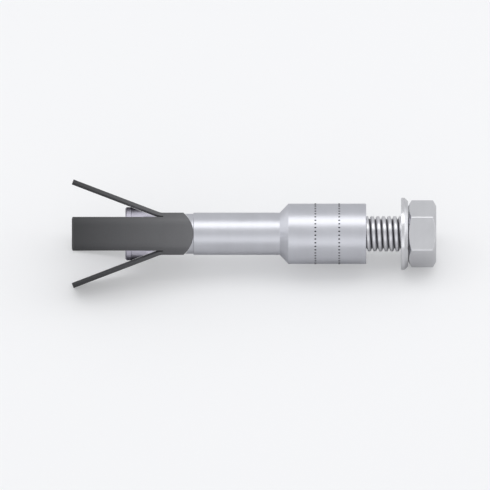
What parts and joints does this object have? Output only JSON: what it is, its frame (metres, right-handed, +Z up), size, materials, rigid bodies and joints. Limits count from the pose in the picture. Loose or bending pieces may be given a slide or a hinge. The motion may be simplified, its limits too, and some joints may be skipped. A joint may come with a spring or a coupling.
{
  "type": "aerated concrete anchor",
  "caption": "Set expansion anchor for aerated concrete: threaded sleeve, dark spread legs on a square cone, hexagon bolt and washer.",
  "frame": {"origin": "on the axis, at the mouth of the sleeve, which is flush with the wall's face when the anchor is set", "axes": "+X along the axis out of the wall towards the bolt's head, +Z up as the anchor lies on two leg tips and the washer"},
  "size_m": [0.0809, 0.0214, 0.0214],
  "materials": {
    "sleeve_zinc": "turned and bright zinc plated",
    "clip_steel": "dark phosphated sheet steel",
    "cone_zinc": "forged and bright zinc plated",
    "nut_steel": "turned steel",
    "bolt_zinc": "forged and bright zinc plated",
    "washer_zinc": "stamped and bright zinc plated"
  },
  "bodies": {
    "sleeve": {"anchor_sleeve": "sleeve_zinc", "clip_collar": "clip_steel"},
    "nut": {"drive_nut": "nut_steel"},
    "cone": {"cone_bolt": "cone_zinc"},
    "leg_upper_front": {"leg_upper_front": "clip_steel"},
    "leg_upper_back": {"leg_upper_back": "clip_steel"},
    "leg_lower_front": {"leg_lower_front": "clip_steel"},
    "leg_lower_back": {"leg_lower_back": "clip_steel"},
    "washer": {"washer": "washer_zinc"},
    "bolt": {"hex_bolt": "bolt_zinc"}
  },
  "joints": [
    {"name": "cone_slide", "type": "slide", "parent": "sleeve", "child": "cone", "axis": [-1, 0, 0], "range_m": [0, 0.0205]},
    {"name": "nut_spin", "type": "hinge", "parent": "sleeve", "child": "nut", "pos_m": [-0.033, 0, 0], "axis": [1, 0, 0], "range_deg": [0, 9225.5]},
    {"name": "leg_upper_front_bend", "type": "hinge", "parent": "sleeve", "child": "leg_upper_front", "pos_m": [-0.0458, -0.0029, 0.0029], "axis": [0, -0.7071, -0.7071], "range_deg": [0, 20.9]},
    {"name": "leg_upper_back_bend", "type": "hinge", "parent": "sleeve", "child": "leg_upper_back", "pos_m": [-0.0458, 0.0029, 0.0029], "axis": [0, -0.7071, 0.7071], "range_deg": [0, 20.9]},
    {"name": "leg_lower_front_bend", "type": "hinge", "parent": "sleeve", "child": "leg_lower_front", "pos_m": [-0.0458, -0.0029, -0.0029], "axis": [0, 0.7071, -0.7071], "range_deg": [0, 20.9]},
    {"name": "leg_lower_back_bend", "type": "hinge", "parent": "sleeve", "child": "leg_lower_back", "pos_m": [-0.0458, 0.0029, -0.0029], "axis": [0, 0.7071, 0.7071], "range_deg": [0, 20.9]},
    {"name": "washer_slide", "type": "slide", "parent": "sleeve", "child": "washer", "axis": [1, 0, 0], "range_m": [-0.0025, 0.0125]},
    {"name": "bolt_spin", "type": "hinge", "parent": "washer", "child": "bolt", "pos_m": [0.012, 0, 0], "axis": [1, 0, 0], "range_deg": [-720.5, 3600.5]}
  ],
  "couplings": [
    {"joint": "nut_spin", "follows": "cone_slide", "rad_per_m": 7854},
    {"joint": "leg_upper_front_bend", "follows": "cone_slide", "rad_per_m": 17.79},
    {"joint": "leg_upper_back_bend", "follows": "cone_slide", "rad_per_m": 17.79},
    {"joint": "leg_lower_front_bend", "follows": "cone_slide", "rad_per_m": 17.79},
    {"joint": "leg_lower_back_bend", "follows": "cone_slide", "rad_per_m": 17.79},
    {"joint": "bolt_spin", "follows": "washer_slide", "rad_per_m": 5026.6}
  ]
}
